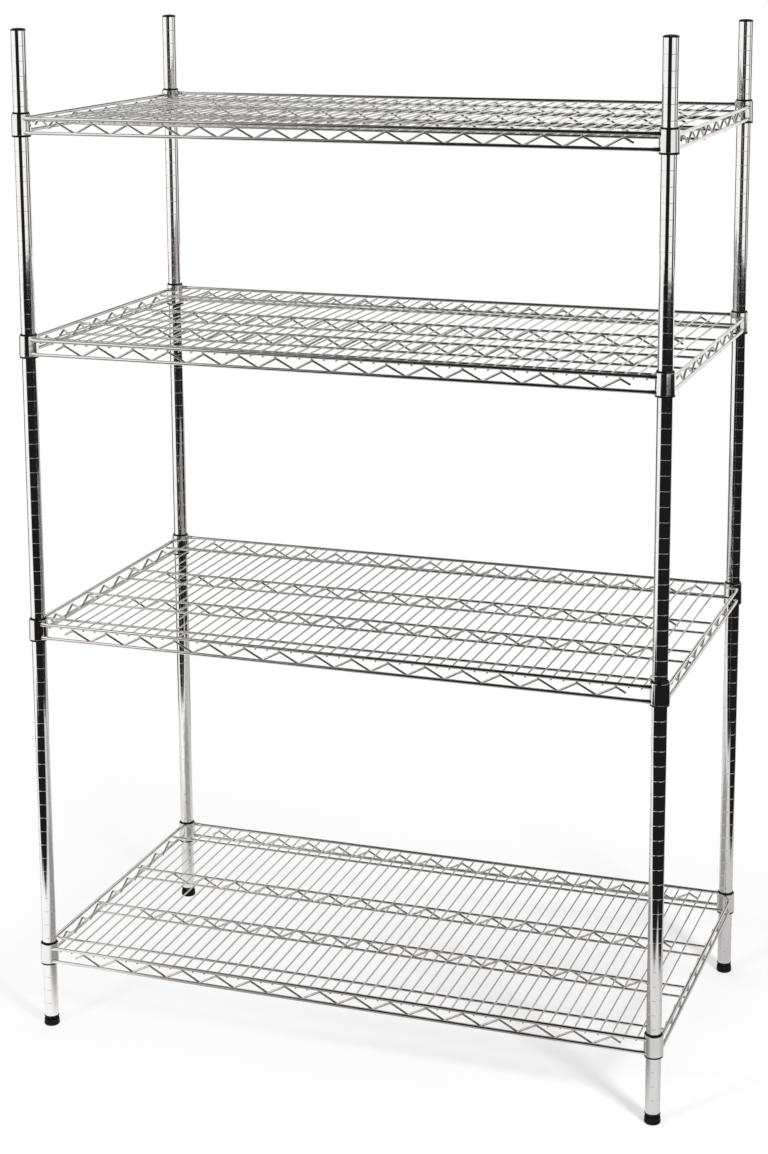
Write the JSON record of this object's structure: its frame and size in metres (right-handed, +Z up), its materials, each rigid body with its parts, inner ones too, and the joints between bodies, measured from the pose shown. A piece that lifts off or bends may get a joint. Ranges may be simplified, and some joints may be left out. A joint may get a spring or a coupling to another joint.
{
  "type": "wire shelving unit",
  "caption": "Free-standing chrome wire shelving unit: grooved tube posts carry welded wire shelves on tapered clip sleeves, with levelling feet under the posts.",
  "frame": {"origin": "on the floor, at the middle of the four feet", "axes": "+Z up along the posts, +X to the right along the shelves, +Y to the back; the front is at -Y"},
  "size_m": [1.1512, 0.6432, 1.8013],
  "materials": {
    "post_chrome": "bright chrome plate",
    "shelf_chrome": "bright chrome plate on wire",
    "stem_zinc": "zinc plate",
    "sleeve_black": "moulded black plastic",
    "cap_black": "moulded black plastic",
    "insert_black": "moulded black plastic",
    "base_black": "moulded black plastic"
  },
  "bodies": {
    "frame": {"post_front_left": "post_chrome", "cap_front_left": "cap_black", "foot_insert_front_left": "insert_black", "post_front_right": "post_chrome", "cap_front_right": "cap_black", "foot_insert_front_right": "insert_black", "post_back_left": "post_chrome", "cap_back_left": "cap_black", "foot_insert_back_left": "insert_black", "post_back_right": "post_chrome", "cap_back_right": "cap_black", "foot_insert_back_right": "insert_black", "sleeve_bottom_front_left_fore_half": "sleeve_black", "sleeve_bottom_front_left_rear_half": "sleeve_black", "sleeve_bottom_front_right_fore_half": "sleeve_black", "sleeve_bottom_front_right_rear_half": "sleeve_black", "sleeve_bottom_back_left_fore_half": "sleeve_black", "sleeve_bottom_back_left_rear_half": "sleeve_black", "sleeve_bottom_back_right_fore_half": "sleeve_black", "sleeve_bottom_back_right_rear_half": "sleeve_black", "sleeve_lower_front_left_fore_half": "sleeve_black", "sleeve_lower_front_left_rear_half": "sleeve_black", "sleeve_lower_front_right_fore_half": "sleeve_black", "sleeve_lower_front_right_rear_half": "sleeve_black", "sleeve_lower_back_left_fore_half": "sleeve_black", "sleeve_lower_back_left_rear_half": "sleeve_black", "sleeve_lower_back_right_fore_half": "sleeve_black", "sleeve_lower_back_right_rear_half": "sleeve_black", "sleeve_upper_front_left_fore_half": "sleeve_black", "sleeve_upper_front_left_rear_half": "sleeve_black", "sleeve_upper_front_right_fore_half": "sleeve_black", "sleeve_upper_front_right_rear_half": "sleeve_black", "sleeve_upper_back_left_fore_half": "sleeve_black", "sleeve_upper_back_left_rear_half": "sleeve_black", "sleeve_upper_back_right_fore_half": "sleeve_black", "sleeve_upper_back_right_rear_half": "sleeve_black", "sleeve_top_front_left_fore_half": "sleeve_black", "sleeve_top_front_left_rear_half": "sleeve_black", "sleeve_top_front_right_fore_half": "sleeve_black", "sleeve_top_front_right_rear_half": "sleeve_black", "sleeve_top_back_left_fore_half": "sleeve_black", "sleeve_top_back_left_rear_half": "sleeve_black", "sleeve_top_back_right_fore_half": "sleeve_black", "sleeve_top_back_right_rear_half": "sleeve_black"},
    "shelf_bottom": {"shelf_bottom": "shelf_chrome"},
    "shelf_lower": {"shelf_lower": "shelf_chrome"},
    "shelf_upper": {"shelf_upper": "shelf_chrome"},
    "shelf_top": {"shelf_top": "shelf_chrome"},
    "foot_front_left": {"foot_stem_front_left": "stem_zinc", "foot_base_front_left": "base_black"},
    "foot_front_right": {"foot_stem_front_right": "stem_zinc", "foot_base_front_right": "base_black"},
    "foot_back_left": {"foot_stem_back_left": "stem_zinc", "foot_base_back_left": "base_black"},
    "foot_back_right": {"foot_stem_back_right": "stem_zinc", "foot_base_back_right": "base_black"}
  },
  "joints": [
    {"name": "shelf_bottom_slide", "type": "slide", "parent": "frame", "child": "shelf_bottom", "axis": [0, 0, 1], "range_m": [0, 0.508]},
    {"name": "shelf_lower_slide", "type": "slide", "parent": "frame", "child": "shelf_lower", "axis": [0, 0, 1], "range_m": [0, 0.4064]},
    {"name": "shelf_upper_slide", "type": "slide", "parent": "frame", "child": "shelf_upper", "axis": [0, 0, 1], "range_m": [0, 0.2794]},
    {"name": "shelf_top_slide", "type": "slide", "parent": "frame", "child": "shelf_top", "axis": [0, 0, 1], "range_m": [0, 0.127]},
    {"name": "foot_front_left_screw", "type": "slide", "parent": "frame", "child": "foot_front_left", "axis": [0, 0, -1], "range_m": [0, 0.019]},
    {"name": "foot_front_right_screw", "type": "slide", "parent": "frame", "child": "foot_front_right", "axis": [0, 0, -1], "range_m": [0, 0.019]},
    {"name": "foot_back_left_screw", "type": "slide", "parent": "frame", "child": "foot_back_left", "axis": [0, 0, -1], "range_m": [0, 0.019]},
    {"name": "foot_back_right_screw", "type": "slide", "parent": "frame", "child": "foot_back_right", "axis": [0, 0, -1], "range_m": [0, 0.019]}
  ]
}
